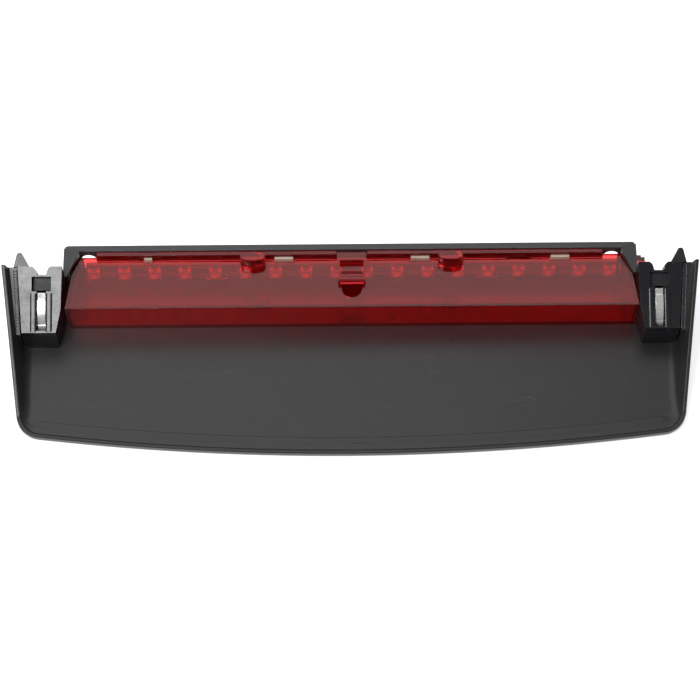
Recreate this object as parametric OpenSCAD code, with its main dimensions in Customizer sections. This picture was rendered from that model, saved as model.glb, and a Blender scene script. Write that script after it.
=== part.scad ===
// Third brake light: a black hood that closes against the rear window, two roof clip towers with metal
// spring clips, and a red LED lamp held by a carrier frame.
// X runs along the lamp, -Y points at the window, Z is up. Places along Y are first counted from the lens's
// front face; place() then moves every piece so that the origin is under the middle of the whole light.

/* [Lamp] */
// Length of the red lens along its front face
lens_w = 322.2; // [318:0.2:326]
// Depth of the red lens
lens_d = 33.5; // [33.2:0.1:33.6]
// Height of the red lens
lens_h = 22.4; // [22:0.1:22.8]
// Wall thickness of the red lens
lens_wall = 2.2; // [2:0.1:2.4]
// Number of LEDs on the board
led_count = 18; // [12:2:18]
// Distance from one LED to the next
led_pitch = 17.3; // [16:0.1:17.4]

/* [Hood] */
// Thickness of the hood's floor
floor_t = 2.5; // [2.2:0.1:2.5]
// Reach of the bowed front edge in front of the lens
front_reach = 81.2; // [76:0.2:86]
// Reach of the connector behind the lens's front face
rear_reach = 44.5; // [43:0.5:46]
// Radius of the bowed front edge
bow_r = 1320; // [1100:10:1600]
// Radius of the two front corners
corner_r = 14; // [10:1:18]
// Height of the side walls at their rear tips
tip_z = 40.6; // [38:0.2:43]
// Height of the front lip
lip_z = 5; // [4.6:0.1:5.4]
// Outward lean of the side walls in degrees
wall_lean = 7.5; // [5:0.5:9]

/* [Clip towers] */
// Height of a tower's face at its front edge
tower_front_z = 20; // [19:0.5:21]
// Height of a tower's face at its rear edge
tower_back_z = 35; // [34:0.5:36]
// Width of the keyhole's window
window_w = 10.9; // [10:0.1:11.4]
// Width of the keyhole's slot
slot_w = 5.3; // [5:0.1:5.6]
// Thickness of the spring clip's steel strip
strip_t = 0.6; // [0.5:0.05:0.7]

/* [Hidden] */

$fn = 48;
gap = 0.2;                              // clearance between separate pieces
overlap = 0.5;                          // depth by which fused shapes run into each other

// Hood
hood_half = lens_w / 2 + 27.9;          // half width of the hood's outline beside the lens's front face
side_angle = 3.3;                       // the hood grows wider towards its rear by this angle
tip_y = 20;                             // the side walls' highest point
hood_back = 35.2;                       // rear edge of the floor at the towers
shelf_back = 40;                        // rear edge of the floor behind the lamp
shelf_half = 163.5;
rim_slope = 0.445;                      // rise of the side walls' rim
tail_slope = 2.7;                       // fall of the rim behind the tip
tail_z = 7.5;                           // rim height at the floor's rear edge
wall_t = 2.3;
lean = tan(wall_lean);
lean_from = 5;                          // the walls lean outwards from this height upwards

// Lamp
lamp_shift = 0.9;                       // the lamp sits this far right of the hood's middle
lens_z = floor_t + 0.1;                 // underside of the lens
lens_top = lens_z + lens_h;
lens_knee = 22;                         // the lens's ends narrow slightly to here, and then sharply
rail_left = 144.7;                      // reach of the slot behind the lens's top, left of the middle
rail_right = 142.4;
slot_front = 30.8;                      // front edge of that slot
cover_front = 33.6;                     // front face of the rear cover's plate
cover_back = 35.9;
cover_low = 15;                         // top of the plate beyond the rail's ends
rail_front = 33.2;
rail_z = lens_top + 0.5;
ridge_z = 28.7;                         // top of the rail's ridge, which stands against the frame's bar
lip_front = 32.3;                       // the ridge's lip reaches forward over the lugs to here
boss_x = 56;
boss_r = 7;
boss_flat = 0.41;                       // a boss is an oval: its depth as a share of its width
boss_y = 29.4;
boss_low = lens_top - 1;
boss_z = 32.2;
board_front = 31;
board_t = 1.6;
board_back = board_front + board_t;
board_half = 151.1;
board_top = 20.5;
lug_z = lens_top + 1;
lug_w = 10.5;
lugs = [[-115.5, 4.4], [-38.5, lug_w], [38.9, lug_w], [118.2, lug_w]];   // middle and width of each board lug
led_z = 14;
led_w = 7.6;
led_t = 3;
led_back = board_front - 1;             // the LEDs stand off the board on their leads
led_front = led_back - led_t;
resistor_leds = [4, led_count - 5];     // counted from the left, each with a resistor under it
resistor_z = 7;

// Release latch
latch_half = 8.4;
latch_end = 14.6;
latch_axis = [34.4, 24.6];              // along Y, and height
latch_under = lens_top + 0.25;
latch_top = lens_top + 2.6;
pull_hole_r = 5.65;
pull_hole_y = 11.9;

// Carrier frame
tower_back_edge = 22;                   // rear faces of the clip towers, just in front of the frame's cheeks
frame_front = 36;
frame_t = 2.5;
frame_half = 162.2;
frame_top = 29.75;
bar_front = 34.9;
bar_under = 26.3;
cheek_front = tower_back_edge + 0.3;    // the frame's two cheeks reach forward beside the lens to here
cheek_under = 25.4;
cheek_low = 27.2;                       // top of a cheek at its front end
window_x = 149;                         // middle of the round end of the frame's opening
window_r = 4.2;
window_top = 23.7;

// Clip towers
tower_x = 173.2;                        // middle of the keyhole
tower_front = -12.4;
tower_back = tower_back_edge;
tower_wall = 2;
face_tilt = atan2(tower_back_z - tower_front_z, tower_back - tower_front);
slot_end = 23.4;                        // along the face, from its front edge
window_end = 31.7;
leaf_axis = [4.8, -6];                  // along the face, and down from it
leaf_w = 4.4;
bend_r = 3;

// Connector
connector_x = 96;
connector_w = 13;
connector_h = 10.4;
connector_z = 5;
connector_wall = 1.4;

module place() translate([0, (front_reach - rear_reach) / 2, 0]) children();

module place_lamp() place() translate([lamp_shift, 0, 0]) children();

// Children drawn for the right-hand side, on the side asked for
module on_side(right) {
    if (right) children();
    else mirror([1, 0, 0]) children();
}

// A prism along X, whose outline is given as [y, z] points
module along_x(width, outline) rotate([90, 0, 90]) linear_extrude(width, center = true) polygon(outline);

module span(low, high) translate(low) cube(high - low);

// ---------------------------------------------------------------- hood

function mix(a, b, t) = a + (b - a) * t;
function ease(t) = t * t * (3 - 2 * t);
function rim_z(y) = y <= tip_y ? tip_z - (tip_y - y) * rim_slope
    : max(tail_z, tip_z - (y - tip_y) * tail_slope);

// Points of the hood's section, as [outwards from its outline, height]: floor, band, rim, face, underside
front_section = [
    [-10.9, floor_t], [-10.5, floor_t + 0.35], [-6.9, floor_t + 0.7], [-6.5, floor_t + 0.95],
    [-4.4, floor_t + 1.15], [-2.8, floor_t + 1.3], [-2.2, lip_z - 0.45], [-1.7, lip_z - 0.1], [-1, lip_z],
    [-0.4, lip_z - 0.1], [0, lip_z - 0.6], [0, 2.4], [-0.2, 1], [-0.8, 0.25], [-1.8, 0]];

function leaning(z) = lean * (z - lean_from);
function side_section(rim) = let (low = min(1, (rim - floor_t) / 9)) [
    [-8.6, floor_t], [-7.2, floor_t + 0.15 * low], [-5.8, floor_t + 0.8 * low], [-4.6, floor_t + 2 * low],
    [-3.7, floor_t + 3.6 * low], [-3.1, floor_t + 5.2 * low], [leaning(rim) - wall_t, rim - 0.7],
    [leaning(rim) - wall_t + 0.3, rim - 0.2], [leaning(rim) - wall_t / 2, rim],
    [leaning(rim) - 0.3, rim - 0.2],
    [leaning(rim), rim - 0.7], [leaning(6), 6 * low], [-0.6, 2.6 * low], [-1.9, 0.8 * low], [-4, 0]];

side_out = [cos(side_angle), -sin(side_angle)];
side_dir = [sin(side_angle), cos(side_angle)];
bow_centre = [0, bow_r - front_reach];
corner_line = [hood_half, 0] - corner_r * side_out;
corner_from = corner_line - bow_centre;
corner_dot = corner_from * side_dir;
corner_root = sqrt(corner_dot * corner_dot - corner_from * corner_from + pow(bow_r - corner_r, 2));
corner_centre = corner_line - (corner_dot + corner_root) * side_dir;
bow_end = atan2(corner_centre.y - bow_centre.y, corner_centre.x);
corner_end = corner_centre + corner_r * side_out;

bow_steps = 14;
corner_steps = 12;
side_steps = 16;
tail_steps = 6;

// Stations from the middle of the front edge to the rear right, each
// [x, y, direction outwards, share of side section, rim height]
function bow_stations() = [for (i = [0 : bow_steps - 1]) let (a = mix(-90, bow_end, i / bow_steps))
    [bow_r * cos(a), bow_centre.y + bow_r * sin(a), a, 0, lip_z]];
function corner_stations() = [for (i = [0 : corner_steps])
    let (a = mix(bow_end, -side_angle, i / corner_steps))
    [corner_centre.x + corner_r * cos(a), corner_centre.y + corner_r * sin(a), a, ease(i / corner_steps),
     mix(lip_z, rim_z(corner_end.y), pow(i / corner_steps, 2))]];
function side_station(y) = [hood_half + y * tan(side_angle), y, 0, 1, rim_z(y)];
function side_stations() = [for (i = [1 : side_steps])
    side_station(mix(corner_end.y, tip_y, i / side_steps))];
tail_end = tip_y + (tip_z - tail_z) / tail_slope;
function tail_stations() = concat(
    [for (i = [1 : tail_steps]) side_station(mix(tip_y, tail_end, i / tail_steps))],
    [side_station(hood_back)]);

function half_stations() = concat(bow_stations(), corner_stations(), side_stations(), tail_stations());
function section_at(s) = let (f = front_section, g = side_section(s[4])) [for (j = [0 : len(f) - 1])
    let (p = mix(f[j], g[j], s[3])) [s.x + p.x * cos(s[2]), s.y + p.x * sin(s[2]), p.y]];

// The tray, and the shelf behind the lamp. Ring k of section points and its mirror image, ring last - k,
// bound a slice of the floor. Every face is listed from a corner that sees all of it.
module hood_tray() {
    half = [for (s = half_stations()) section_at(s)];
    n = len(half) - 1;
    rings = concat([for (k = [n : -1 : 0]) half[k]],
                   [for (k = [1 : n]) [for (p = half[k]) [-p.x, p.y, p.z]]]);
    m = len(front_section);
    last = len(rings) - 1;
    s = m * (last + 1);
    shelf = [for (z = [floor_t, 0]) each [[-shelf_half, hood_back, z], [-shelf_half, shelf_back, z],
                                          [shelf_half, shelf_back, z], [shelf_half, hood_back, z]]];
    low = m - 1;                        // a ring's last point, on the underside
    heel = m - 3;                       // the outer corner between floor and wall
    left = last * m;
    floor_faces = concat([[m, left - m, left, s, s + 3, 0], [s, s + 1, s + 2, s + 3]],
                         [for (k = [1 : n - 2]) [k * m, (k + 1) * m, left - (k + 1) * m, left - k * m]],
                         [[(n - 1) * m, n * m, (n + 1) * m]]);
    under_faces = concat([[m + low, low, s + 7, s + 4, left + low, left - m + low],
                          [s + 7, s + 6, s + 5, s + 4]],
                         [for (k = [1 : n - 2]) [left - k * m + low, left - (k + 1) * m + low,
                                                 (k + 1) * m + low, k * m + low]],
                         [[(n + 1) * m + low, n * m + low, (n - 1) * m + low]]);
    back_faces = [concat([for (j = [heel : -1 : 0]) j], [s + 3, s + 7, low, low - 1]),
                  concat([left + heel, left + low - 1, left + low, s + 4, s],
                         [for (j = [0 : heel - 1]) left + j])];
    shelf_faces = [[s + 3, s + 2, s + 6, s + 7], [s + 2, s + 1, s + 5, s + 6], [s + 1, s, s + 4, s + 5]];
    skin = [for (k = [0 : last - 1], j = [0 : m - 2]) let (a = k * m + j, b = a + m)
        each [[a, a + 1, b + 1], [a, b + 1, b]]];
    polyhedron(concat([for (r = rings) each r], shelf),
               concat(floor_faces, under_faces, back_faces, shelf_faces, skin), convexity = 6);
}

// Children in the frame of a side wall: x outwards from the hood's outline, y along it
module on_wall() translate([hood_half, 0, 0]) rotate([0, 0, -side_angle]) children();

// The strip that fills the space between a tower and the side wall
module side_strip() intersection() {
    on_wall() translate([0, 60, 0]) rotate([90, 0, 0]) linear_extrude(120)
        polygon([[-3.2, 3], [-3.2, 60], [leaning(60) - 1, 60], [-1, lean_from], [-1.5, 3]]);
    along_x(500, [[tower_front, 2], [tower_front, tower_front_z - 2], [22.6, tower_back_z - 1.8], [22.6, 2]]);
}

// The pointed fin at the strip's rear end: a tilted triangle on a web that stands behind the tower
fin_tilt = 27;
fin_outline = [[180, -0.3], [184.6, 7.9], [186.3, 8.05], [187.2, 7.2], [189, 0], [188.8, -3], [182, -3]];
module fin() {
    intersection() {
        translate([0, 22.3, 34]) rotate([fin_tilt, 0, 0]) translate([0, 0, -2])
            linear_extrude(2) polygon(fin_outline);
        span([170, 22.3, 0], [200, 40, 60]);
    }
    span([182.5, 22.3, 2], [188.8, 24.5, 33.9]);
}

// The hood, with a moulding mark near its front edge
module hood_shell() color("#2b2b2d") place() {
    difference() {
        union() {
            hood_tray();
            for (right = [true, false]) on_side(right) {
                side_strip();
                fin();
            }
        }
        translate([5, -front_reach + 7, floor_t + 0.35]) cylinder(d = 1.6, h = 3);
    }
}

// ---------------------------------------------------------------- clip towers

function tower_plan(inset) = [[186.6 - inset, tower_back - inset], [161.7 + inset, tower_back - inset],
    [162.4 + inset, -0.5], [165 + inset, tower_front + inset], [184.1 - inset, tower_front + inset]];
function tower_side(inset) = [[tower_front, 0], [tower_front, tower_front_z - inset],
    [tower_back, tower_back_z - inset], [tower_back, 0]];

module tower_mass(inset) intersection() {
    linear_extrude(60) polygon(tower_plan(inset));
    along_x(500, tower_side(inset * 1.1));
}

// Section of the space that a tower leaves for the hood's floor where it curves up into the side wall
under_tower = [[-9.4, 0], [-9.4, floor_t + 0.1], [-7.4, floor_t + 0.3], [-6, floor_t + 0.95],
               [-4.85, floor_t + 2.15], [-3.95, floor_t + 3.75], [-3.35, floor_t + 5.3], [-3.35, 20], [4, 20],
               [4, 0]];

// Children in the frame of a tower's sloping face: x from the keyhole's middle, y along the face, z out of it
module on_face() translate([tower_x, tower_front, tower_front_z]) rotate([face_tilt, 0, 0]) children();

// Section of the two ribs beside the slot, as [across, height over the face]
rib_section = [[-1.75, -1], [-1.75, 0.05], [-1.5, 0.4], [-0.9, 0.62], [0.9, 0.62], [1.5, 0.4], [1.75, 0.05],
               [1.75, -1]];

// The notch between the two ears of a tower's rear edge
notch_side = [[2.4, 32.6], [2.8, 33.3], [3.2, 35], [3.6, 36], [4.3, 36.9], [5.3, 37.5], [7, 37.9], [7, 40]];
notch_outline = concat(notch_side,
                       [for (i = [len(notch_side) - 1 : -1 : 0]) [-notch_side[i].x, notch_side[i].y]]);

module tower() {
    rib_x = slot_w / 2 + 1.75;
    cheek_x = slot_w / 2 + 0.85;
    difference() {
        union() {
            difference() {
                tower_mass(0);
                tower_mass(tower_wall);
                cube([800, 200, 2 * floor_t + gap], center = true);
                on_wall() translate([0, 60, 0]) rotate([90, 0, 0]) linear_extrude(120) polygon(under_tower);
            }
            intersection() {
                tower_mass(overlap);
                on_face() {
                    for (side = [-1, 1]) translate([side * cheek_x - 0.65, -5, -11]) cube([1.3, 29, 10]);
                    translate([-cheek_x - 0.65, -5, -11]) cube([2 * cheek_x + 1.3, 27, 1.5]);
                    translate([-9, 24.4, -6.2]) cube([18, 14, 1.6]);
                }
            }
            on_face() for (side = [-1, 1])
                translate([side * rib_x, 22.2, 0]) rotate([90, 0, 0]) linear_extrude(21.6)
                    polygon(rib_section);
        }
        on_face() {
            translate([-slot_w / 2, 1.2, -4.4]) cube([slot_w, slot_end - 1.2 + overlap, 8]);
            translate([-window_w / 2, slot_end, -4.4]) cube([window_w, window_end - slot_end, 8]);
            translate([0, 0, -8.4]) linear_extrude(12) polygon(notch_outline);
        }
    }
}

module clip_tower(right) color("#3a3a3c") place() on_side(right) tower();

// ---------------------------------------------------------------- spring clips

// A steel strip across the keyhole's middle, of the given centre line, as [along the face, height] points
module strip(line) along_x(leaf_w, concat([for (p = line) p + [0, strip_t / 2]],
                                          [for (i = [len(line) - 1 : -1 : 0]) line[i] - [0, strip_t / 2]]));

module spring_base(right) color("silver") place() on_side(right) on_face() {
    low = leaf_axis.y - bend_r;
    difference() {
        translate([0, leaf_axis.x, leaf_axis.y]) rotate([0, 90, 0])
            cylinder(r = bend_r + strip_t / 2, h = leaf_w, center = true);
        translate([0, leaf_axis.x, leaf_axis.y]) rotate([0, 90, 0])
            cylinder(r = bend_r - strip_t / 2, h = leaf_w + 1, center = true);
        translate([-10, leaf_axis.x, leaf_axis.y - 10]) cube(20);
    }
    strip([[leaf_axis.x - 0.05, low], [16, low], [20.5, low]]);
}

module spring_leaf(right) color("gainsboro") place() on_side(right) on_face()
    strip([[leaf_axis.x + 0.05, leaf_axis.y + bend_r], [6.8, -2.1], [8.5, -1.45], [11, -0.95], [14, -0.7],
           [18.6, -0.75], [19.5, -1.8], [22.6, -1.2]]);

// ---------------------------------------------------------------- carrier frame

module frame_outline() {
    r = 3;
    difference() {
        union() {
            translate([-frame_half, floor_t + 0.1]) square([2 * frame_half, frame_top - floor_t - 0.1 - r]);
            translate([-frame_half + r, 10]) square([2 * (frame_half - r), frame_top - 10]);
            for (s = [-1, 1]) translate([s * (frame_half - r), frame_top - r]) circle(r = r);
        }
        translate([-window_x, 4.2]) square([2 * window_x, window_top - window_r - 4.2]);
        for (s = [-1, 1]) {
            translate([s * window_x, window_top - window_r]) circle(r = window_r);
            translate([s * window_x - window_r, 4.2]) square([2 * window_r, window_top - window_r - 4.2]);
        }
    }
}

cheek_plan = [[153.8, frame_front + 1], [153.8, 34], [159.1, cheek_front], [160.2, cheek_front - 2],
              [161.4, cheek_front - 2], [161.4, cheek_front], [frame_half, cheek_front],
              [frame_half, frame_front + 1]];
cheek_side = [[0, cheek_under], [0, cheek_low - 3.6], [cheek_front, cheek_low], [frame_front + 2, frame_top],
              [frame_front + 2, cheek_under]];

// The frame stands on the floor behind the lamp; its cheeks reach forward beside the lens, and the right-hand
// one's post carries the lens's peg in a fork
module carrier_frame() color("#303034") place() {
    translate([0, frame_front + frame_t, 0]) rotate([90, 0, 0]) linear_extrude(frame_t) frame_outline();
    span([-window_x - 6, bar_front, bar_under], [window_x + 6, frame_front + overlap, frame_top]);
    for (right = [true, false]) on_side(right) {
        intersection() {
            linear_extrude(60) polygon(cheek_plan);
            along_x(500, cheek_side);
        }
        difference() {
            span([frame_half - 2, cheek_front, floor_t + 0.1],
                 [frame_half, frame_front + overlap, cheek_under + overlap]);
            span([frame_half - 3, 25.7, 14.6], [frame_half + 1, 32.7, cheek_under]);
        }
    }
}

// ---------------------------------------------------------------- lamp

function lens_plan(inset, back) = let (w = lens_w / 2 - inset, k = inset * 0.95) concat(
    [[w, inset], [w - 2.6 + 0.1 * inset, lens_knee - k / 3], [w - 7.5 + 0.35 * inset, back]],
    [[-(w - 7.5 + 0.35 * inset), back], [-(w - 2.6 + 0.1 * inset), lens_knee - k / 3], [-w, inset]]);

function led_x(i) = (i - (led_count - 1) / 2) * led_pitch;

// A shallow ring on the inside of the lens's front wall, opposite each LED
module optic_rings() for (i = [0 : led_count - 1])
    translate([led_x(i), lens_wall - overlap, led_z]) rotate([-90, 0, 0]) difference() {
        cylinder(r = 5.2, h = overlap + 0.6, $fn = 32);
        translate([0, 0, -1]) cylinder(r = 4.4, h = 3, $fn = 32);
    }

module ovals(grow) for (s = [-1, 1])
    translate([s * boss_x, boss_y]) scale([1, (boss_r * boss_flat + grow) / (boss_r + grow)])
        circle(r = boss_r + grow);

module lens_body() color([0.72, 0.03, 0.06, 0.6]) place_lamp() {
    difference() {
        union() {
            difference() {
                translate([0, 0, lens_z]) linear_extrude(lens_h) polygon(lens_plan(0, lens_d));
                translate([0, 0, lens_z + lens_wall]) linear_extrude(lens_h - 2 * lens_wall)
                    polygon(lens_plan(lens_wall, lens_d + 1));
            }
            along_x(12.4, [[19.1, lens_top - overlap], [19.1, lens_top + 2], [20.1, lens_top + 2.1],
                           [24.6, lens_top], [24.6, lens_top - overlap]]);
        }
        span([-rail_left, slot_front, lens_top - lens_wall - 1], [rail_right, lens_d + 1, lens_top + 1]);
        translate([0, 0, lens_top - lens_wall - 1]) linear_extrude(lens_wall + 2) ovals(0.4);
        for (l = lugs) span([l[0] - l[1] / 2 - 0.8, slot_front - 1, lens_top - lens_wall - 1],
                            [l[0] + l[1] / 2 + 0.8, slot_front + 1, lens_top + 1]);
        translate([0, pull_hole_y, lens_top - lens_wall - 1]) cylinder(r = pull_hole_r, h = lens_wall + 2);
        span([-pull_hole_r, pull_hole_y, lens_top - lens_wall - 1],
             [pull_hole_r, latch_end + 1, lens_top + 1]);
    }
    optic_rings();
    span([152.6, 26, 14.8], [164.2, 32.4, lens_top]);
    span([163.8, 26.8, 16.8], [166.4, 31.6, lens_top - 0.8]);
}

module rear_cover() color([0.66, 0.03, 0.06, 0.7]) place_lamp() {
    difference() {
        union() {
            span([-152, cover_front, lens_z + 0.2], [152, cover_back, cover_low]);
            span([-rail_left - 0.6, cover_front, cover_low - overlap],
                 [rail_right + 0.6, cover_back, rail_z]);
            span([-rail_left + 0.3, rail_front, lens_top - lens_wall],
                 [rail_right - 0.3, cover_back, rail_z]);
            span([-rail_left + 0.3, rail_front, rail_z - overlap],
                 [rail_right - 0.3, bar_front - 0.1, ridge_z]);
            span([-rail_left + 0.3, lip_front, ridge_z - 1.4],
                 [rail_right - 0.3, rail_front + overlap, ridge_z]);
            translate([0, 0, boss_low]) linear_extrude(boss_z - boss_low) ovals(0);
            for (s = [-1, 1])
                span([s * boss_x - 4.5, boss_y, boss_low],
                     [s * boss_x + 4.5, rail_front + overlap, ridge_z - 0.3]);
        }
        for (l = lugs)
            span([l[0] - 5.85, rail_front - 1, lens_top - 4], [l[0] + 5.85, rail_front + 0.8, rail_z + 1]);
        span([-latch_half - 0.4, lip_front - 1, latch_axis.y - 1.5],
             [latch_half + 0.4, cover_back + 1, ridge_z + 1]);
        span([connector_x - connector_w / 2 - gap, cover_front - 1, connector_z - gap],
             [connector_x + connector_w / 2 + gap, cover_back + 1, connector_z + connector_h + gap]);
    }
}

// A strap from the rear cover over the lens's top, with a window that snaps over the lens's catch
module release_latch() color([0.8, 0.05, 0.08, 0.7]) place_lamp() {
    difference() {
        intersection() {
            linear_extrude(60) polygon([[-latch_half, 40], [-latch_half, 31], [-latch_half + 0.7, latch_end],
                [latch_half - 0.7, latch_end], [latch_half, 31], [latch_half, 40]]);
            along_x(2 * latch_half, [[latch_end, latch_under], [latch_end, latch_top + 1.4],
                [latch_end + 0.5, latch_top + 2], [latch_end + 2, latch_top + 2],
                [latch_end + 2.5, latch_top + 1.4], [latch_end + 2.5, latch_top], [29.3, ridge_z],
                [33.6, ridge_z], [latch_axis.x + 0.4, latch_axis.y + 1],
                [latch_axis.x - 0.4, latch_axis.y - 0.9],
                [31.4, latch_under]]);
        }
        span([-6.7, latch_end + 4, latch_under - 1], [6.7, 28.4, latch_top + 3]);
    }
    translate([0, latch_axis.x, latch_axis.y]) rotate([0, 90, 0])
        cylinder(r = 1.1, h = 2 * latch_half, center = true);
}

module led_board() color("#e9e4d2") place_lamp() {
    span([-board_half, board_front, lens_z + lens_wall + 0.2], [board_half, board_back, board_top]);
    for (l = lugs)
        span([l[0] - l[1] / 2, board_front, board_top - overlap], [l[0] + l[1] / 2, board_back, lug_z]);
}

// Square LEDs with one cut corner and a domed front
module led_bodies() color([0.9, 0.25, 0.25, 0.8]) place_lamp() for (i = [0 : led_count - 1])
    translate([led_x(i), led_back, led_z]) rotate([90, 0, 0]) {
        h = led_w / 2;
        linear_extrude(led_t) polygon([[-h, -h], [h, -h], [h, h - 1.4], [h - 1.4, h], [-h, h]]);
        translate([0, 0, led_t - overlap]) cylinder(r = 2.5, h = 1.4);
        intersection() {
            translate([0, 0, led_t + 0.9 - sqrt(2.9 * 2.9 - 2.5 * 2.5)]) sphere(r = 2.9);
            translate([0, 0, led_t + 0.9]) cylinder(r = 2.5, h = 4);
        }
    }

// Four leads at each LED, from the body's back to the board
module led_leads() color("silver") place_lamp() for (i = [0 : led_count - 1], sx = [-1, 1], sz = [-1, 1])
    translate([led_x(i) + sx * 2.54, (led_back + board_front) / 2, led_z + sz * 2.9])
        cube([1.5, board_front - led_back, 0.9], center = true);

module at_resistors() for (i = resistor_leds) translate([led_x(i), board_front - 1.6, resistor_z]) children();

module board_resistors() color("#8fb8c9") place_lamp() at_resistors() rotate([0, 90, 0]) {
    cylinder(r = 1.15, h = 6.4, center = true);
    for (s = [-1, 1]) translate([0, 0, s * 2.5]) cylinder(r = 1.35, h = 1.6, center = true);
}

module resistor_leads() color("silver") place_lamp() at_resistors() for (s = [-1, 1]) {
    translate([s * 4.65, 0, 0]) rotate([0, 90, 0]) cylinder(r = 0.35, h = 2.9, center = true);
    translate([s * 6.1, 0, 0]) rotate([-90, 0, 0]) cylinder(r = 0.35, h = 1.6);
}

module polarity_diode() color("#1c1c1e") place_lamp()
    span([connector_x - 2.3, board_front - 2.2, 5.2], [connector_x + 2.3, board_front, 8.2]);

// Solder at the back of the board, behind every LED lead
module solder_joints() color("#b9bcc0") place_lamp() for (i = [0 : led_count - 1], sx = [-1, 1], sz = [-1, 1])
    if (abs(led_x(i) - connector_x) > connector_w / 2 + 5)
        translate([led_x(i) + sx * 2.54, board_back, led_z + sz * 2.9]) rotate([-90, 0, 0])
            cylinder(r = 0.9, h = 0.5);

// ---------------------------------------------------------------- connector

module connector_header() color("#232326") place_lamp() difference() {
    half = connector_w / 2;
    union() {
        span([connector_x - half, board_back, connector_z],
             [connector_x + half, rear_reach, connector_z + connector_h]);
        span([connector_x - 2.5, 38, connector_z + connector_h - overlap],
             [connector_x + 2.5, rear_reach - 1, connector_z + connector_h + 1.2]);
    }
    span([connector_x - half + connector_wall, board_back + 2, connector_z + connector_wall],
         [connector_x + half - connector_wall, rear_reach + 1, connector_z + connector_h - connector_wall]);
}

module connector_terminals() color("silver") place_lamp() for (s = [-1, 1])
    translate([connector_x + s * 2.5, (board_back + 2 + 41.5) / 2, connector_z + connector_h / 2])
        cube([0.64, 41.5 - board_back - 2, 2.2], center = true);

hood_shell();
clip_tower(false);  // clip_tower_left
clip_tower(true);  // clip_tower_right
spring_base(false);  // spring_base_left
spring_base(true);  // spring_base_right
spring_leaf(false);  // spring_leaf_left
spring_leaf(true);  // spring_leaf_right
carrier_frame();
lens_body();
rear_cover();
release_latch();
led_board();
led_bodies();
led_leads();
board_resistors();
resistor_leads();
polarity_diode();
solder_joints();
connector_header();
connector_terminals();
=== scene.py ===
"""Materials, fine detail, light and camera for the third brake light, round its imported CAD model."""

import math

import bmesh
import bpy
from mathutils import Matrix, Vector


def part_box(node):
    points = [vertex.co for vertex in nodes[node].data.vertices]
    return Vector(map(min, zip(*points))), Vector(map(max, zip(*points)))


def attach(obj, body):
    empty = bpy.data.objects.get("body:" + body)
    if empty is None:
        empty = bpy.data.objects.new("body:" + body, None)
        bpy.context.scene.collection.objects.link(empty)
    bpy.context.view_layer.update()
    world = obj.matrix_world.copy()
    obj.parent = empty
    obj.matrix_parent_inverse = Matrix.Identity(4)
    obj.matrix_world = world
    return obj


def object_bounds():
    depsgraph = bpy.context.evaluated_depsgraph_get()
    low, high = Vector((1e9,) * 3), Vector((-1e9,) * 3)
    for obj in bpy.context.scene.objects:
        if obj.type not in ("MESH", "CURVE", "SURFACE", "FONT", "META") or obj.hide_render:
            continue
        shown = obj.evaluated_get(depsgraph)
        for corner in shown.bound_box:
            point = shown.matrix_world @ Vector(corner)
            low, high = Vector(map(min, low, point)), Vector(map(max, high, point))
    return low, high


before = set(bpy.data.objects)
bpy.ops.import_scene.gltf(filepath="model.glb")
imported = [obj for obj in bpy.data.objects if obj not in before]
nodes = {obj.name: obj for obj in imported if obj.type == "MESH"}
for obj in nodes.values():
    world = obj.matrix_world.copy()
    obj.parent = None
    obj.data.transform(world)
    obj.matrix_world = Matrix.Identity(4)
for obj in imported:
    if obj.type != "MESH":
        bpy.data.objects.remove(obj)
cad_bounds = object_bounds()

MM = 0.001

# Facts of the CAD model that its boxes don't give
LED_COUNT = 18
LED_WIDTH = 7.6 * MM
LED_BODY_DEPTH = 3 * MM
LEAD_SPREAD = (2.54 * MM, 2.9 * MM)     # from an LED's middle to its leads, across and up
TOWER_FRONT_TOP = 20 * MM               # height of a tower's sloping face at its front
STRIP_DROP = 2 * MM                     # the hood's outer strips lie this far under the towers' faces
SIDE_ANGLE = math.radians(3.3)          # the hood grows wider towards its rear
HOOD_HALF_AT_LENS = 189 * MM            # half width of the hood's outline beside the lens's front face


# ------------------------------------------------------------------ materials

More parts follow.
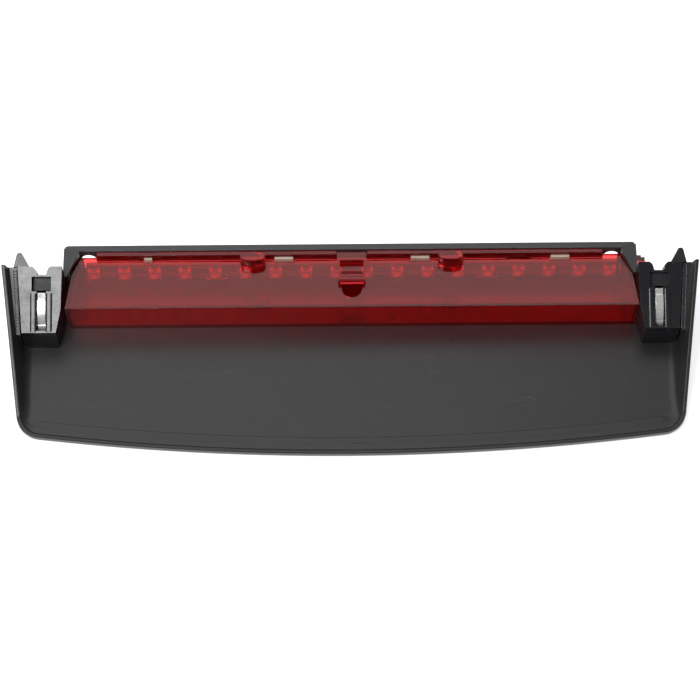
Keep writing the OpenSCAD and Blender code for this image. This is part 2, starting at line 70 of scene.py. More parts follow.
class Surface:
    """A material whose Principled shader is fed by procedural nodes in the object's own coordinates."""

    def __init__(self, name, colour, roughness, **sockets):
        self.material = bpy.data.materials.new(name)
        self.material.use_nodes = True
        self.tree = self.material.node_tree
        self.shader = self.tree.nodes["Principled BSDF"]
        self.shader.inputs["Base Color"].default_value = (*colour, 1)
        self.shader.inputs["Roughness"].default_value = roughness
        for socket, value in sockets.items():
            self.shader.inputs[socket.replace("_", " ")].default_value = value
        self.place = self.node("ShaderNodeTexCoord").outputs["Object"]
        self.normal = None

    def node(self, kind, **settings):
        made = self.tree.nodes.new(kind)
        for name, value in settings.items():
            setattr(made, name, value)
        return made

    def link(self, source, target):
        """Feeds a socket from another one, or gives it a plain value."""
        if isinstance(source, bpy.types.NodeSocket):
            self.tree.links.new(source, target)
        elif source is not None:
            target.default_value = source

    def stretched(self, stretch):
        mapping = self.node("ShaderNodeMapping")
        mapping.inputs["Scale"].default_value = stretch
        self.link(self.place, mapping.inputs["Vector"])
        return mapping.outputs["Vector"]

    def noise(self, per_metre, detail=2.0, stretch=None, distortion=0.0):
        made = self.node("ShaderNodeTexNoise")
        made.inputs["Scale"].default_value = per_metre
        made.inputs["Detail"].default_value = detail
        made.inputs["Distortion"].default_value = distortion
        self.link(self.stretched(stretch) if stretch else self.place, made.inputs["Vector"])
        return made.outputs["Fac"]

    def specks(self, per_metre, radius):
        """1 in sparse round specks, and 0 elsewhere. The radius is a share of their spacing."""
        cells = self.node("ShaderNodeTexVoronoi")
        cells.inputs["Scale"].default_value = per_metre
        self.link(self.place, cells.inputs["Vector"])
        share = 0.36                                # of the cells that hold a speck
        near = self.levels(cells.outputs["Distance"], radius * 0.6, radius, 1, 0)
        parts = self.node("ShaderNodeSeparateColor")
        self.link(cells.outputs["Color"], parts.inputs["Color"])
        some = self.levels(parts.outputs["Red"], 1 - share - 0.02, 1 - share + 0.02, 0, 1)
        return self.maths("MULTIPLY", near, some)

    def levels(self, value, low, high, to_low, to_high):
        made = self.node("ShaderNodeMapRange", clamp=True)
        limits = {"From Min": low, "From Max": high, "To Min": to_low, "To Max": to_high}
        for socket, number in limits.items():
            made.inputs[socket].default_value = number
        self.link(value, made.inputs["Value"])
        return made.outputs["Result"]

    def maths(self, operation, a, b):
        made = self.node("ShaderNodeMath", operation=operation)
        self.link(a, made.inputs[0])
        self.link(b, made.inputs[1])
        return made.outputs["Value"]

    def mix(self, share, a, b):
        made = self.node("ShaderNodeMix", data_type="RGBA")
        self.link(share, made.inputs["Factor"])
        for value, socket in ((a, made.inputs[6]), (b, made.inputs[7])):
            self.link((*value, 1) if isinstance(value, tuple) else value, socket)
        return made.outputs[2]

    def inside(self, low, high):
        """1 between two corners in the object's coordinates, and 0 elsewhere."""
        parts = self.node("ShaderNodeSeparateXYZ")
        self.link(self.place, parts.inputs["Vector"])
        share = 1.0
        for axis in range(3):
            for operation, limit in (("GREATER_THAN", low[axis]), ("LESS_THAN", high[axis])):
                share = self.maths("MULTIPLY", share, self.maths(operation, parts.outputs[axis], limit))
        return share

    def deeper(self, point, direction, depth):
        """1 at places more than that depth behind a plane, and 0 in front of them."""
        dot = self.node("ShaderNodeVectorMath", operation="DOT_PRODUCT")
        self.link(self.place, dot.inputs[0])
        dot.inputs[1].default_value = direction
        return self.maths("LESS_THAN", dot.outputs["Value"], Vector(point).dot(Vector(direction)) - depth)

    def edges(self, radius):
        """1 along the sharp edges, fading to 0 within the radius."""
        turn_at_edge, turn_on_face = 0.3, 0.03      # of 1 minus the cosine between rounded and true normal
        rounded = self.node("ShaderNodeBevel", samples=4)
        rounded.inputs["Radius"].default_value = radius
        dot = self.node("ShaderNodeVectorMath", operation="DOT_PRODUCT")
        self.link(rounded.outputs["Normal"], dot.inputs[0])
        self.link(self.node("ShaderNodeNewGeometry").outputs["Normal"], dot.inputs[1])
        return self.levels(dot.outputs["Value"], 1 - turn_at_edge, 1 - turn_on_face, 1, 0)

    def bump(self, height, depth, strength=1.0):
        """Adds relief of that depth in metres on top of what is there."""
        made = self.node("ShaderNodeBump")
        made.inputs["Strength"].default_value = strength
        made.inputs["Distance"].default_value = depth
        self.link(height, made.inputs["Height"])
        self.link(self.normal, made.inputs["Normal"])
        self.normal = made.outputs["Normal"]
        self.link(self.normal, self.shader.inputs["Normal"])

    def colour(self, value):
        self.link(value, self.shader.inputs["Base Color"])

    def roughness(self, value):
        self.link(value, self.shader.inputs["Roughness"])


def moulded_plastic(name, dark, light, roughness, grain, depth, worn, wear=0.35, mottle=0.015,
                    polished=None):
    """Injection-moulded plastic: a grained skin with faint flow marks, scuffs, dust and lighter edges.
    Grain is per metre, and depth is the grain's. Polished is a point on the polished outer face and that
    face's direction: deeper places stay matt."""
    scuff_strength, dust_strength = 0.18, 0.5
    s = Surface(name, light, roughness)
    flow = s.noise(38, detail=3, stretch=(0.35, 1, 1), distortion=0.4)
    skin = s.noise(grain, detail=3)
    tone = s.maths("ADD", s.levels(flow, 0.3, 0.7, 0, 0.55), s.levels(skin, 0.3, 0.7, 0, 0.45))
    colour = s.mix(tone, dark, light)
    scuffs = s.levels(s.noise(70, detail=5, stretch=(0.5, 3, 1), distortion=1.2), 0.66, 0.74, 0, 1)
    colour = s.mix(s.maths("MULTIPLY", scuffs, scuff_strength), colour, worn)
    colour = s.mix(s.maths("MULTIPLY", s.specks(120, radius=0.045), dust_strength), colour, worn)
    rubbed = s.maths("MULTIPLY", s.edges(0.5 * MM), s.levels(s.noise(160, detail=3), 0.35, 0.65, 0.3, 1))
    s.colour(s.mix(s.maths("MULTIPLY", rubbed, wear), colour, worn))
    rough = s.maths("ADD", s.levels(flow, 0.3, 0.7, roughness - 0.05, roughness + 0.05),
                    s.levels(skin, 0.35, 0.65, -0.04, 0.04))
    rough = s.maths("ADD", rough, s.levels(s.noise(240, detail=4), 0.32, 0.68, -mottle, mottle))
    if polished:
        matt_from, matt_extra = 3 * MM, 0.3
        rough = s.maths("ADD", rough, s.maths("MULTIPLY", s.deeper(*polished, matt_from), matt_extra))
    s.roughness(s.maths("SUBTRACT", rough, s.maths("MULTIPLY", scuffs, 0.08)))
    s.bump(skin, depth)
    s.bump(s.noise(grain / 9, detail=2), depth * 1.6, strength=0.6)
    return s.material


def clear_plastic(name, tint, roughness, ripple, milk, frosted=None):
    """See-through plastic, slightly milky. Shadow and diffuse rays pass it straight, and each face gives
    them the square root of its tint. The frosted box, as two corners, has a matt surface."""
    acrylic_ior = 1.49
    frosting = 0.05                                 # added to the roughness
    s = Surface(name, tint, roughness, IOR=acrylic_ior, Transmission_Weight=1 - milk)
    waves = s.noise(26, detail=2, stretch=(0.4, 2.2, 1), distortion=0.8)
    haze = s.noise(900, detail=2)
    hairlines = s.levels(s.noise(240, detail=4, stretch=(0.12, 2.5, 1), distortion=0.6), 0.68, 0.72, 0, 1)
    matt = s.maths("ADD", s.levels(haze, 0.3, 0.7, roughness * 0.6, roughness * 1.4),
                   s.maths("MULTIPLY", hairlines, 0.12))
    if frosted:
        matt = s.maths("ADD", matt, s.maths("MULTIPLY", s.inside(*frosted), frosting))
    s.roughness(matt)
    s.bump(waves, ripple)
    s.bump(s.noise(420, detail=2), ripple * 0.06)
    output = s.tree.nodes["Material Output"]
    path = s.node("ShaderNodeLightPath")
    passing = s.maths("MAXIMUM", path.outputs["Is Shadow Ray"], path.outputs["Is Diffuse Ray"])
    through = s.node("ShaderNodeBsdfTransparent")
    through.inputs["Color"].default_value = (*(math.sqrt(c) for c in tint), 1)
    both = s.node("ShaderNodeMixShader")
    s.link(passing, both.inputs["Fac"])
    s.link(s.shader.outputs["BSDF"], both.inputs[1])
    s.link(through.outputs["BSDF"], both.inputs[2])
    s.link(both.outputs["Shader"], output.inputs["Surface"])
    return s.material


def metal(name, dark, light, roughness, brushed, depth, metallic=1.0):
    """Bright metal strip or wire with rolling marks and a few dull spots. Satin plating is less metallic."""
    s = Surface(name, light, roughness, Metallic=metallic)
    marks = s.noise(1100, detail=3, stretch=brushed)
    spots = s.levels(s.noise(210, detail=4), 0.6, 0.8, 0, 0.6)
    s.colour(s.mix(s.maths("MAXIMUM", s.levels(marks, 0.35, 0.7, 0, 0.6), spots), light, dark))
    s.roughness(s.maths("ADD", s.levels(marks, 0.3, 0.7, roughness * 0.7, roughness * 1.3),
                        s.maths("MULTIPLY", spots, 0.15)))
    s.bump(marks, depth)
    return s.material


def laminate(name, face, fibre, resist, resist_top):
    """Cream circuit board with a faint glass weave, under a dull coat of solder resist up to some height."""
    threads_per_metre, resist_cover, resist_fade = 700, 0.85, 0.2 * MM
    s = Surface(name, face, 0.5)
    across = s.node("ShaderNodeTexWave", wave_type="BANDS", bands_direction="X")
    upright = s.node("ShaderNodeTexWave", wave_type="BANDS", bands_direction="Z")
    for wave in (across, upright):
        wave.inputs["Scale"].default_value = threads_per_metre
        wave.inputs["Distortion"].default_value = 0.6
        s.link(s.place, wave.inputs["Vector"])
    weave = s.maths("MULTIPLY", across.outputs["Fac"], upright.outputs["Fac"])
    stain = s.levels(s.noise(90, detail=3), 0.4, 0.7, 0, 0.5)
    bare = s.mix(s.maths("ADD", s.maths("MULTIPLY", weave, 0.3), stain), face, fibre)
    height = s.node("ShaderNodeSeparateXYZ")
    s.link(s.place, height.inputs["Vector"])
    coated = s.levels(height.outputs["Z"], resist_top - resist_fade, resist_top + resist_fade, 1, 0)
    s.colour(s.mix(s.maths("MULTIPLY", coated, resist_cover), bare, resist))
    s.roughness(s.levels(weave, 0, 1, 0.42, 0.58))
    s.bump(weave, 0.02 * MM)
    return s.material


def lacquer(name, dark, light):
    """Glossy coat over a small round body, a little uneven."""
    s = Surface(name, light, 0.25, Coat_Weight=0.4, Coat_Roughness=0.08)
    drift = s.noise(700, detail=2)
    s.colour(s.mix(s.levels(drift, 0.3, 0.7, 0, 1), light, dark))
    s.roughness(s.levels(drift, 0.3, 0.7, 0.2, 0.32))
    s.bump(drift, 0.03 * MM)
    return s.material


lens_low, lens_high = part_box("lens_body")
board_low, board_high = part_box("led_board")
tower_low, tower_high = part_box("clip_tower_right")

# Box round the inside of the lens's front wall, where its moulded rings look matt, from the lens's own box
RINGS_FRONT, RINGS_BACK, RINGS_BOTTOM, RINGS_TOP = 1.5 * MM, 3.2 * MM, 2.4 * MM, -5 * MM
front_wall_inside = ((lens_low.x, lens_low.y + RINGS_FRONT, lens_low.z + RINGS_BOTTOM),
                     (lens_high.x, lens_low.y + RINGS_BACK, lens_high.z + RINGS_TOP))
# Rear top edge of the towers' polished sloping face, and that face's direction
tower_rise = Vector((0, tower_high.y - tower_low.y, tower_high.z - TOWER_FRONT_TOP)).normalized()
tower_face = (Vector((0, tower_high.y, tower_high.z)), Vector((0, -tower_rise.z, tower_rise.y)))
RESIST_DROP = 6 * MM                    # the solder resist ends this far under the lugs' tops

hood_plastic = moulded_plastic("hood_plastic", (0.022, 0.0216, 0.0233), (0.035, 0.0344, 0.0363),
                               roughness=0.34, grain=2600, depth=0.01 * MM, worn=(0.12, 0.12, 0.125))
tower_plastic = moulded_plastic("tower_plastic", (0.01, 0.0105, 0.013), (0.018, 0.018, 0.021),
                                roughness=0.21, grain=1500, depth=0.006 * MM, worn=(0.16, 0.16, 0.165),
                                wear=0.5, mottle=0.05, polished=tower_face)
frame_plastic = moulded_plastic("frame_plastic", (0.042, 0.0425, 0.046), (0.06, 0.0605, 0.065),
                                roughness=0.33, grain=2200, depth=0.008 * MM, worn=(0.3, 0.3, 0.31),
                                wear=0.7, mottle=0.03)
connector_plastic = moulded_plastic("connector_plastic", (0.014, 0.014, 0.016), (0.022, 0.022, 0.024),
                                    roughness=0.36, grain=3000, depth=0.02 * MM, worn=(0.1, 0.1, 0.1))
diode_black = moulded_plastic("diode_black", (0.01, 0.01, 0.011), (0.016, 0.016, 0.017), roughness=0.45,
                              grain=5000, depth=0.015 * MM, worn=(0.08, 0.08, 0.08))
red_lens = clear_plastic("red_lens", (0.93, 0.06, 0.055), roughness=0.04, ripple=0.012 * MM, milk=0.026,
                         frosted=front_wall_inside)
red_cover = clear_plastic("red_cover", (0.6, 0.03, 0.035), roughness=0.1, ripple=0.008 * MM, milk=0.12)
red_latch = clear_plastic("red_latch", (0.65, 0.035, 0.04), roughness=0.08, ripple=0.01 * MM, milk=0.12)
led_resin = clear_plastic("led_resin", (0.97, 0.6, 0.57), roughness=0.05, ripple=0.01 * MM, milk=0.15)
lead_silver = lacquer("lead_silver", (0.8, 0.8, 0.78), (0.95, 0.95, 0.93))
spring_steel = metal("spring_steel", (0.72, 0.71, 0.67), (0.92, 0.91, 0.87), roughness=0.24,
                     brushed=(1, 0.05, 1), depth=0.0015 * MM, metallic=0.55)
tinned_metal = metal("tinned_metal", (0.5, 0.5, 0.49), (0.8, 0.8, 0.79), roughness=0.3,
                     brushed=(1, 1, 1), depth=0.008 * MM)
solder_metal = metal("solder_metal", (0.4, 0.41, 0.42), (0.72, 0.73, 0.74), roughness=0.24,
                     brushed=(1, 1, 1), depth=0.02 * MM)
board_cream = laminate("board_cream", face=(0.74, 0.7, 0.56), fibre=(0.5, 0.44, 0.28),
                       resist=(0.16, 0.2, 0.15), resist_top=board_high.z - RESIST_DROP)
resistor_lacquer = lacquer("resistor_lacquer", (0.13, 0.26, 0.36), (0.24, 0.41, 0.51))
copper_trace = lacquer("copper_trace", (0.46, 0.4, 0.2), (0.6, 0.54, 0.32))
band_colours = {"brown": (0.09, 0.03, 0.012), "black": (0.012, 0.012, 0.012), "red": (0.4, 0.02, 0.015),
                "gold": (0.45, 0.3, 0.08)}
DARKER = 0.7                            # share of a band's colour in its darker places
band_lacquers = [lacquer("band_" + name, tuple(c * DARKER for c in colour), colour)
                 for name, colour in band_colours.items()]

NODE_MATERIALS = {
    "hood_shell": hood_plastic, "clip_tower_left": tower_plastic, "clip_tower_right": tower_plastic,
    "spring_base_left": spring_steel, "spring_base_right": spring_steel,
    "spring_leaf_left": spring_steel, "spring_leaf_right": spring_steel,
    "carrier_frame": frame_plastic, "lens_body": red_lens, "rear_cover": red_cover,
    "release_latch": red_latch, "led_board": board_cream, "led_bodies": led_resin, "led_leads": tinned_metal,
    "board_resistors": resistor_lacquer, "resistor_leads": tinned_metal, "polarity_diode": diode_black,
    "solder_joints": solder_metal, "connector_header": connector_plastic,
    "connector_terminals": tinned_metal}

for name, material in NODE_MATERIALS.items():
    for material_slot in nodes[name].material_slots:
        material_slot.link = "OBJECT"
        material_slot.material = material


# ------------------------------------------------------------------ edges and shading of the CAD nodes

def shading_group(angle):
    """A geometry-node group that shades smoothly, except across edges sharper than the angle."""
    group = bpy.data.node_groups.new("smooth_under_angle", "GeometryNodeTree")
    group.interface.new_socket("Geometry", in_out="INPUT", socket_type="NodeSocketGeometry")
    group.interface.new_socket("Geometry", in_out="OUTPUT", socket_type="NodeSocketGeometry")
    start = group.nodes.new("NodeGroupInput")
    end = group.nodes.new("NodeGroupOutput")
    edge = group.nodes.new("GeometryNodeInputMeshEdgeAngle")
    sharp = group.nodes.new("FunctionNodeCompare")
    sharp.operation = "GREATER_THAN"
    sharp.inputs[1].default_value = angle
    shade = group.nodes.new("GeometryNodeSetMeshNormal")
    shade.mode = "SHARPNESS"
    shade.inputs["Remove Custom"].default_value = True
    group.links.new(start.outputs[0], shade.inputs["Mesh"])
    group.links.new(edge.outputs["Unsigned Angle"], sharp.inputs[0])
    group.links.new(sharp.outputs["Result"], shade.inputs["Edge Sharpness"])
    group.links.new(shade.outputs["Mesh"], end.inputs[0])
    return group


WELD_DISTANCE = 0.002 * MM
FLAT_ANGLE = math.radians(0.4)          # facets that meet flatter than this become one face
SHARP_ANGLE = math.radians(30)          # edges sharper than this are rounded
SMOOTH_ANGLE = math.radians(32)         # edges sharper than this aren't shaded smoothly
FACE_WEIGHT = 80                        # of large faces in the shading, where 50 is even
smooth_shading = shading_group(SMOOTH_ANGLE)


def finish_edges(piece, radius):
    """Joins a CAD node's split vertices, rounds its sharp edges unless radius is 0, and shades smoothly."""
    weld = piece.modifiers.new("join", "WELD")
    weld.merge_threshold = WELD_DISTANCE
    if radius:
        dissolve = piece.modifiers.new("flat_faces", "DECIMATE")
        dissolve.decimate_type = "DISSOLVE"
        dissolve.angle_limit = FLAT_ANGLE
        bevel = piece.modifiers.new("round_edges", "BEVEL")
        bevel.width = radius
        bevel.segments = 2
        bevel.limit_method = "ANGLE"
        bevel.angle_limit = SHARP_ANGLE
        bevel.use_clamp_overlap = True
    shade = piece.modifiers.new("shade", "NODES")
    shade.node_group = smooth_shading
    weighted = piece.modifiers.new("flat_shading", "WEIGHTED_NORMAL")
    weighted.keep_sharp = True
    weighted.weight = FACE_WEIGHT


# Radius in mm of the rounded edges, on the nodes that have them
EDGE_ROUNDING = {"clip_tower_left": 0.3, "clip_tower_right": 0.3, "carrier_frame": 0.35, "lens_body": 0.15,
                 "rear_cover": 0.12, "release_latch": 0.15, "connector_header": 0.2, "led_board": 0.08,
                 "polarity_diode": 0.2, "spring_base_left": 0.08, "spring_base_right": 0.08,
                 "spring_leaf_left": 0.1, "spring_leaf_right": 0.1, "connector_terminals": 0.08}
for name, piece in nodes.items():
    finish_edges(piece, EDGE_ROUNDING.get(name, 0) * MM)


# ------------------------------------------------------------------ mesh tools

def add_block(mesh, low, high, taper=0.0):
    """A box between two corners, whose front (low Y) face is smaller by the taper on every side."""
    low, high = Vector(low), Vector(high)
    corners = []
    for y, inset in ((low.y, taper), (high.y, 0.0)):
        for x, z in ((low.x + inset, low.z + inset), (high.x - inset, low.z + inset),
                     (high.x - inset, high.z - inset), (low.x + inset, high.z - inset)):
            corners.append(mesh.verts.new((x, y, z)))
    front, back = corners[:4], corners[4:]
    mesh.faces.new(front)
    mesh.faces.new(back[::-1])
    for i in range(4):
        j = (i + 1) % 4
        mesh.faces.new((front[i], back[i], back[j], front[j]))


def add_lathe(mesh, origin, axis, profile, steps=24, material=0):
    """A closed surface of revolution about an axis from the origin. Its profile is (along, radius) pairs."""
    turn = Vector(axis).normalized().to_track_quat("Z", "Y").to_matrix()
    rings = []
    for along, radius in profile:
        rings.append([mesh.verts.new(Vector(origin) + turn @ Vector((
            radius * math.cos(2 * math.pi * i / steps), radius * math.sin(2 * math.pi * i / steps), along)))
            for i in range(steps)])
    for a, b in zip(rings, rings[1:] + rings[:1]):
        for i in range(steps):
            j = (i + 1) % steps
            mesh.faces.new((a[i], a[j], b[j], b[i])).material_index = material


def add_sweep(mesh, path, section):
    """A bar through the points of a path, with the same closed section of (across, up) pairs at each."""
    rings = []
    for i, point in enumerate(path):
        along = (path[min(i + 1, len(path) - 1)] - path[max(i - 1, 0)]).normalized()
        across = along.cross(Vector((0, 0, 1))).normalized()
        up = across.cross(along)
        rings.append([mesh.verts.new(point + across * a + up * u) for a, u in section])
    count = len(section)
    for a, b in zip(rings, rings[1:]):
        for i in range(count):
            j = (i + 1) % count
            mesh.faces.new((a[i], a[j], b[j], b[i]))
    mesh.faces.new(rings[0][::-1])
    mesh.faces.new(rings[-1])


def make_piece(name, build, materials, body, smooth=False):
    """A new object from a function that fills a bmesh, riding on a CAD body."""
    mesh = bmesh.new()
    build(mesh)
    bmesh.ops.recalc_face_normals(mesh, faces=mesh.faces)
    data = bpy.data.meshes.new(name)
    mesh.to_mesh(data)
    mesh.free()
    for material in materials:
        data.materials.append(material)
    piece = bpy.data.objects.new(name, data)
    bpy.context.scene.collection.objects.link(piece)
    if smooth:
        for polygon in data.polygons:
            polygon.use_smooth = True
        piece.modifiers.new("shade", "NODES").node_group = smooth_shading
    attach(piece, body)


# ------------------------------------------------------------------ inside of the LEDs

led_low, led_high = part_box("led_bodies")
led_pitch = (led_high.x - led_low.x - LED_WIDTH) / (LED_COUNT - 1)
led_places = [Vector((led_low.x + LED_WIDTH / 2 + i * led_pitch, led_high.y, (led_low.z + led_high.z) / 2))
              for i in range(LED_COUNT)]


# Lead frame of one LED, from the middle of the LED's rear face. Paddles and posts are cut from one sheet.
SHEET_BACK = -0.45 * LED_BODY_DEPTH
SHEET_FRONT = SHEET_BACK - 0.4 * MM
PADDLE_ENDS, PADDLE_HALF = (0.25 * MM, 3.3 * MM), 0.4 * MM          # reach across, and half the height
POST_START, POST_PAST_LEAD = 0.3 * MM, 0.45 * MM
LOW_POST_HALF, HIGH_POST_HALF = 0.5 * MM, 0.75 * MM
LEG_HALF_ACROSS, LEG_HALF_UP, LEG_END = 0.7 * MM, 0.4 * MM, -0.1 * MM
EAR_ENDS, EAR_BELOW, EAR_ABOVE, EAR_PROUD = (1.15 * MM, 3.6 * MM), 0.5 * MM, 0.65 * MM, 0.1 * MM
CUP_ACROSS, CUP_START = -0.2 * MM, SHEET_FRONT + 0.05 * MM
CUP_PROFILE = [(0, 0.7 * MM), (0, 1.55 * MM), (0.8 * MM, 1.75 * MM), (0.8 * MM, 1.55 * MM),
               (0.2 * MM, 0.7 * MM)]


def reach(side, near, far):
    """The lower and the higher end of a stretch that lies on one side of a middle."""
    return sorted((side * near, side * far))


def lead_frames(mesh):
    """In each LED two flat paddles. A paddle has a post down and a wider one up, and both bend back to the
    board as legs. There is an ear across each upper post, and one paddle carries a reflector cup."""
    across, up = LEAD_SPREAD
    for place in led_places:
        for side in (-1, 1):
            left, right = reach(side, *PADDLE_ENDS)
            add_block(mesh, place + Vector((left, SHEET_FRONT, -PADDLE_HALF)),
                      place + Vector((right, SHEET_BACK, PADDLE_HALF)))
            for rise, half in ((-1, LOW_POST_HALF), (1, HIGH_POST_HALF)):
                bottom, top = reach(rise, POST_START, up + POST_PAST_LEAD)
                post = place + Vector((side * across, 0, 0))
                add_block(mesh, post + Vector((-half, SHEET_FRONT, bottom)),
                          post + Vector((half, SHEET_BACK, top)))
                leg = post + Vector((0, 0, rise * up))
                add_block(mesh, leg + Vector((-LEG_HALF_ACROSS, SHEET_BACK, -LEG_HALF_UP)),
                          leg + Vector((LEG_HALF_ACROSS, LEG_END, LEG_HALF_UP)))
            left, right = reach(side, *EAR_ENDS)
            add_block(mesh, place + Vector((left, SHEET_FRONT - EAR_PROUD, up - EAR_BELOW)),
                      place + Vector((right, SHEET_BACK + EAR_PROUD, up + EAR_ABOVE)))
        add_lathe(mesh, place + Vector((CUP_ACROSS, CUP_START, 0)), (0, -1, 0), CUP_PROFILE)


CHIP_BASE = SHEET_BACK - 0.5 * MM       # just inside the cup's floor; chip and wire are measured from it
CHIP_HALF, CHIP_FRONT, CHIP_BACK, CHIP_TAPER = 0.28 * MM, -0.3 * MM, 0.1 * MM, 0.05 * MM
WIRE_SPAN, WIRE_RISE, WIRE_RADIUS = 2.2 * MM, 0.7 * MM, 0.06 * MM
WIRE_STEPS, WIRE_SIDES = 5, 6


def light_chips(mesh):
    """The small square chip in each reflector cup, with its bond wire in an arch."""
    section = [(WIRE_RADIUS * math.cos(a), WIRE_RADIUS * math.sin(a))
               for a in (2 * math.pi * i / WIRE_SIDES for i in range(WIRE_SIDES))]
    for place in led_places:
        base = place + Vector((CUP_ACROSS, CHIP_BASE, 0))
        add_block(mesh, base + Vector((-CHIP_HALF, CHIP_FRONT, -CHIP_HALF)),
                  base + Vector((CHIP_HALF, CHIP_BACK, CHIP_HALF)), CHIP_TAPER)
        wire = [base + Vector((t * WIRE_SPAN, CHIP_FRONT - WIRE_RISE * math.sin(math.pi * t), 0))
                for t in (i / WIRE_STEPS for i in range(WIRE_STEPS + 1))]
        add_sweep(mesh, wire, section)


make_piece("led_lead_frames", lead_frames, [lead_silver], "hood", smooth=True)
make_piece("led_chips", light_chips, [copper_trace], "hood")


# ------------------------------------------------------------------ circuit board

header_low, header_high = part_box("connector_header")
TRACE_WIDTH = 1.2 * MM
COPPER_SKIN = 0.05 * MM                 # copper stands this far out of the board, and sinks as far into it
LEDS_IN_STRING, STRING_GAP = 3, 4 * MM
RAIL_RISE, RAIL_MARGIN = 5.6 * MM, 3 * MM            # from the LEDs' middles, and from the board's ends
PAD_HOLE, PAD_RIM, PAD_FOOT = 0.3 * MM, 1.25 * MM, 1.3 * MM
HEADER_MARGIN = 6 * MM                  # no pads this near the connector


def copper(mesh):
    """On the board's front, traces from LED to LED, with a gap between two strings, and two supply rails. On
    its back, round pads at the leads."""
    across, up = LEAD_SPREAD

    def trace(start, end, height):
        add_block(mesh, (start, board_low.y - COPPER_SKIN, height - TRACE_WIDTH / 2),
                  (end, board_low.y + COPPER_SKIN, height + TRACE_WIDTH / 2))

    for i, (a, b) in enumerate(zip(led_places, led_places[1:])):
        gap = STRING_GAP if (i + 1) % LEDS_IN_STRING == 0 else 0
        trace(a.x + across, b.x - across - gap, a.z + (up if i % 2 else -up))
    for rail in (-1, 1):
        trace(board_low.x + RAIL_MARGIN, board_high.x - RAIL_MARGIN, led_places[0].z + rail * RAIL_RISE)
    pad = [(-COPPER_SKIN, PAD_HOLE), (-COPPER_SKIN, PAD_FOOT),
           (COPPER_SKIN, PAD_RIM), (COPPER_SKIN, PAD_HOLE)]
    for place in led_places:
        if header_low.x - HEADER_MARGIN < place.x < header_high.x + HEADER_MARGIN:
            continue
        for side in (-1, 1):
            for rise in (-1, 1):
                centre = Vector((place.x + side * across, board_high.y, place.z + rise * up))
                add_lathe(mesh, centre, (0, 1, 0), pad, steps=16)


make_piece("board_copper", copper, [copper_trace], "hood")

resistor_low, resistor_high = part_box("board_resistors")
RESISTOR_HALF = 3.3 * MM
# Of each colour band, its place along the resistor and the resistor's radius over it
BANDS = [(-2.5 * MM, 1.4 * MM), (-0.9 * MM, 1.19 * MM), (0.5 * MM, 1.19 * MM), (2.5 * MM, 1.4 * MM)]
BAND_HALF, BAND_THICKNESS = 0.35 * MM, 0.1 * MM
resistor_y = (resistor_low.y + resistor_high.y) / 2
resistor_z = (resistor_low.z + resistor_high.z) / 2


def resistor_rings(mesh):
    """Colour bands round both resistors."""
    for middle in (resistor_low.x + RESISTOR_HALF, resistor_high.x - RESISTOR_HALF):
        for i, (offset, outer) in enumerate(BANDS):
            inner = outer - BAND_THICKNESS
            ring = [(-BAND_HALF, inner), (-BAND_HALF, outer), (BAND_HALF, outer), (BAND_HALF, inner)]
            centre = Vector((middle + offset, resistor_y, resistor_z))
            add_lathe(mesh, centre, (1, 0, 0), ring, steps=32, material=i)


make_piece("resistor_bands", resistor_rings, band_lacquers, "hood", smooth=True)


# ------------------------------------------------------------------ ridges of the hood's outer strips

STRIP_INNER, STRIP_OUTER = -2.9 * MM, -1.1 * MM      # an outer strip's edges, from the hood's outline
RIDGES_FRONT, RIDGES_BACK = 0.6 * MM, -0.8 * MM      # where they end, from the towers' front and back
BEAD_HALF, BEAD_HEIGHT, BEAD_STEPS = 0.28 * MM, 0.14 * MM, 12
RIB_FOOT_HALF, RIB_TOP_HALF, RIB_HEIGHT, RIB_COUNT = 0.25 * MM, 0.2 * MM, 0.06 * MM, 22
RIDGE_ROOT = -0.3 * MM                  # beads and ribs reach this far into the strip


def strip_point(side, back, offset):
    """A point on an outer strip's sloping face, at a distance behind the lens's front face."""
    along = (back + lens_low.y - tower_low.y) / (tower_high.y - tower_low.y)
    height = TOWER_FRONT_TOP + along * (tower_high.z - TOWER_FRONT_TOP) - STRIP_DROP
    x = HOOD_HALF_AT_LENS + back * math.tan(SIDE_ANGLE) + offset
    return Vector((side * x, lens_low.y + back, height))


def strip_ridges(side):
    """A function that makes the two long beads and the row of fine cross ribs of one outer strip."""
    front = tower_low.y - lens_low.y + RIDGES_FRONT
    length = tower_high.y - lens_low.y + RIDGES_BACK - front
    bead = [(BEAD_HALF * math.cos(a), BEAD_HEIGHT * math.sin(a))
            for a in (math.pi * i / 6 for i in range(7))]
    bead += [(-BEAD_HALF, RIDGE_ROOT), (BEAD_HALF, RIDGE_ROOT)]
    rib = [(RIB_FOOT_HALF, RIDGE_ROOT), (RIB_TOP_HALF, RIB_HEIGHT),
           (-RIB_TOP_HALF, RIB_HEIGHT), (-RIB_FOOT_HALF, RIDGE_ROOT)]

    def build(mesh):
        for offset in (STRIP_INNER, STRIP_OUTER):
            add_sweep(mesh, [strip_point(side, front + length * t / BEAD_STEPS, offset)
                             for t in range(BEAD_STEPS + 1)], bead)
        for i in range(RIB_COUNT):
            at = front + length * (i + 0.5) / RIB_COUNT
            add_sweep(mesh, [strip_point(side, at, STRIP_INNER), strip_point(side, at, STRIP_OUTER)], rib)
    return build


for side, name in ((-1, "left"), (1, "right")):
    make_piece("strip_ridges_" + name, strip_ridges(side), [tower_plastic], "hood",
               smooth=True)


# ------------------------------------------------------------------ floor, light and camera

def floor_material():
    """Plain pale floor that shines a little, so that it stays even to its far end."""
    s = Surface("floor", (0.93, 0.93, 0.93), 0.7, Emission_Color=(1, 1, 1, 1), Emission_Strength=0.7)
    s.roughness(s.levels(s.noise(30, detail=3), 0.3, 0.7, 0.65, 0.75))
    return s.material


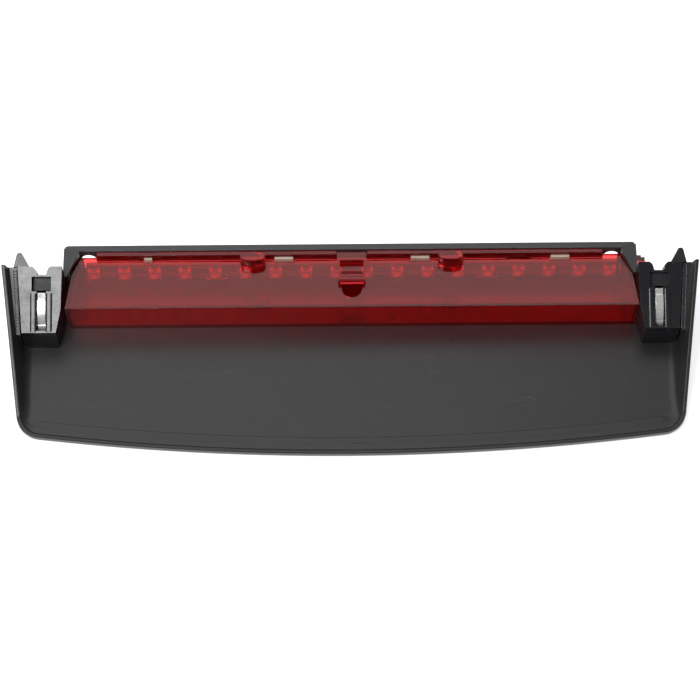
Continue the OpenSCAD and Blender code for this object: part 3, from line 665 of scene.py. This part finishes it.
FLOOR_HALF = 4.0
FLOOR_DROP = 0.2 * MM                   # keeps the floor clear of the hood's underside
floor_mesh = bmesh.new()
bmesh.ops.create_grid(floor_mesh, x_segments=1, y_segments=1, size=FLOOR_HALF)
floor_data = bpy.data.meshes.new("floor")
floor_mesh.to_mesh(floor_data)
floor_mesh.free()
floor_data.materials.append(floor_material())
floor = bpy.data.objects.new("floor", floor_data)
floor.location.z = -FLOOR_DROP
bpy.context.scene.collection.objects.link(floor)


def softbox(name, place, aim, size, radiance):
    """A rectangular area light at a place, facing a point, that looks equally bright at any size."""
    light = bpy.data.lights.new(name, "AREA")
    light.shape = "RECTANGLE"
    light.size, light.size_y = size
    light.energy = radiance * math.pi * size[0] * size[1]
    lamp = bpy.data.objects.new(name, light)
    lamp.location = place
    back = (Vector(place) - Vector(aim)).normalized()
    across = Vector((0, 1, 0)).cross(back).normalized()
    lamp.rotation_euler = Matrix((across, back.cross(across), back)).transposed().to_euler()
    bpy.context.scene.collection.objects.link(lamp)


centre = (cad_bounds[0] + cad_bounds[1]) / 2
softbox("key_left", place=(-0.4, -0.36, 1.2), aim=centre, size=(0.46, 0.46), radiance=11.5)
softbox("sky_behind", place=(-0.45, 0.78, 1.15), aim=centre, size=(1.9, 1.1), radiance=1.15)

SKY_COLOUR, SKY_STRENGTH = (0.93, 0.96, 1, 1), 0.22
world = bpy.data.worlds.new("studio")
world.use_nodes = True
world.node_tree.nodes["Background"].inputs["Color"].default_value = SKY_COLOUR
world.node_tree.nodes["Background"].inputs["Strength"].default_value = SKY_STRENGTH
bpy.context.scene.world = world
bpy.context.scene.view_settings.view_transform = "Standard"

CAMERA_DISTANCE = 1.1
CAMERA_HEIGHT_ANGLE = math.radians(60)   # of the camera above the horizon, seen from the aim
CAMERA_LOOK_DOWN = math.radians(61.26)   # the camera looks a little in front of the aim
CAMERA_ROLL = math.radians(0.45)
CAMERA_SENSOR, CAMERA_FOCAL = 36, 101    # in mm
CAMERA_NEAR = 10 * MM                    # nothing closer than this is drawn
AIM_LEFT = 4 * MM                        # of the middle between the lens's ends
AIM_DROP = 1 * MM                        # under the lugs' tops
aim = Vector(((lens_low.x + lens_high.x) / 2 - AIM_LEFT, lens_low.y, board_high.z - AIM_DROP))
camera_data = bpy.data.cameras.new("camera")
camera_data.sensor_width = CAMERA_SENSOR
camera_data.lens = CAMERA_FOCAL
camera_data.clip_start = CAMERA_NEAR
camera = bpy.data.objects.new("camera", camera_data)
to_camera = Vector((0, -math.cos(CAMERA_HEIGHT_ANGLE), math.sin(CAMERA_HEIGHT_ANGLE)))
camera.location = aim + CAMERA_DISTANCE * to_camera
camera.rotation_euler = (Matrix.Rotation(math.pi / 2 - CAMERA_LOOK_DOWN, 3, "X")
                         @ Matrix.Rotation(-CAMERA_ROLL, 3, "Z")).to_euler()
bpy.context.scene.collection.objects.link(camera)
bpy.context.scene.camera = camera
